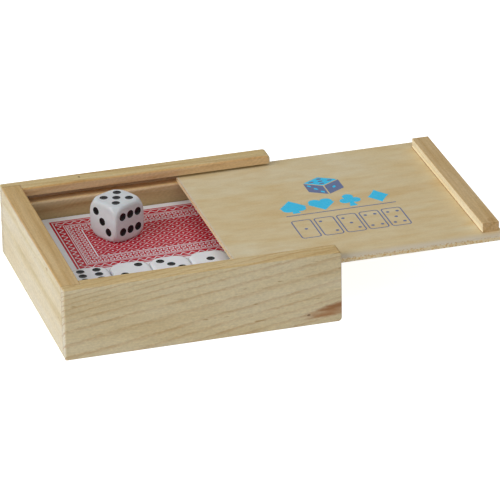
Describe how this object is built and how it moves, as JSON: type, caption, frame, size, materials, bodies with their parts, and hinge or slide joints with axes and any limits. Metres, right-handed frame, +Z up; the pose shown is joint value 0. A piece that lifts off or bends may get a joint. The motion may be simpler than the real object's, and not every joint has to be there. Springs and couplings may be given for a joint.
{
  "type": "card and dice box",
  "caption": "Low rectangular pine box with a plywood lid that slides in grooves and a pull batten, holding a pack of playing cards and white dice.",
  "frame": {"origin": "centre of the box's underside, on the surface that it stands on", "axes": "+X from the closed end towards the end where the lid slides out, +Y from the front wall to the back wall, +Z up"},
  "size_m": [0.1814, 0.1048, 0.0316],
  "materials": {
    "pine": "bare sanded pine",
    "plywood": "bare sanded plywood",
    "card": "plastic-coated playing card stock",
    "dice": "polished white plastic"
  },
  "bodies": {
    "box": {"front_wall": "pine", "back_wall": "pine", "closed_end_wall": "pine", "low_end_wall": "pine", "base_panel": "plywood"},
    "lid": {"lid_panel": "plywood", "lid_pull_batten": "pine"},
    "card_pack": {"bottom_joker_card": "card", "club_cards": "card", "diamond_cards": "card", "heart_cards": "card", "spade_cards": "card", "top_joker_card": "card"},
    "top_die": {"die_on_deck": "dice"},
    "row_die_1": {"die_row_1": "dice"},
    "row_die_2": {"die_row_2": "dice"},
    "row_die_3": {"die_row_3": "dice"},
    "row_die_4": {"die_row_4": "dice"}
  },
  "joints": [
    {"name": "lid_slide", "type": "slide", "parent": "box", "child": "lid", "axis": [1, 0, 0], "range_m": [-0.068, 0]},
    {"name": "top_die_lift", "type": "slide", "parent": "card_pack", "child": "top_die", "axis": [0, 0, 1], "range_m": [0, 0.041]},
    {"name": "card_pack_lift", "type": "slide", "parent": "box", "child": "card_pack", "axis": [0, 0, 1], "range_m": [0, 0.0075]},
    {"name": "row_die_1_lift", "type": "slide", "parent": "box", "child": "row_die_1", "axis": [0, 0, 1], "range_m": [0, 0.03]},
    {"name": "row_die_2_lift", "type": "slide", "parent": "box", "child": "row_die_2", "axis": [0, 0, 1], "range_m": [0, 0.03]},
    {"name": "row_die_3_lift", "type": "slide", "parent": "box", "child": "row_die_3", "axis": [0, 0, 1], "range_m": [0, 0.03]},
    {"name": "row_die_4_slide", "type": "slide", "parent": "box", "child": "row_die_4", "axis": [0, -1, 0], "range_m": [0, 0.015]}
  ],
  "couplings": [
    {"joint": "top_die_lift", "follows": "lid_slide", "ratio": -0.6}
  ]
}
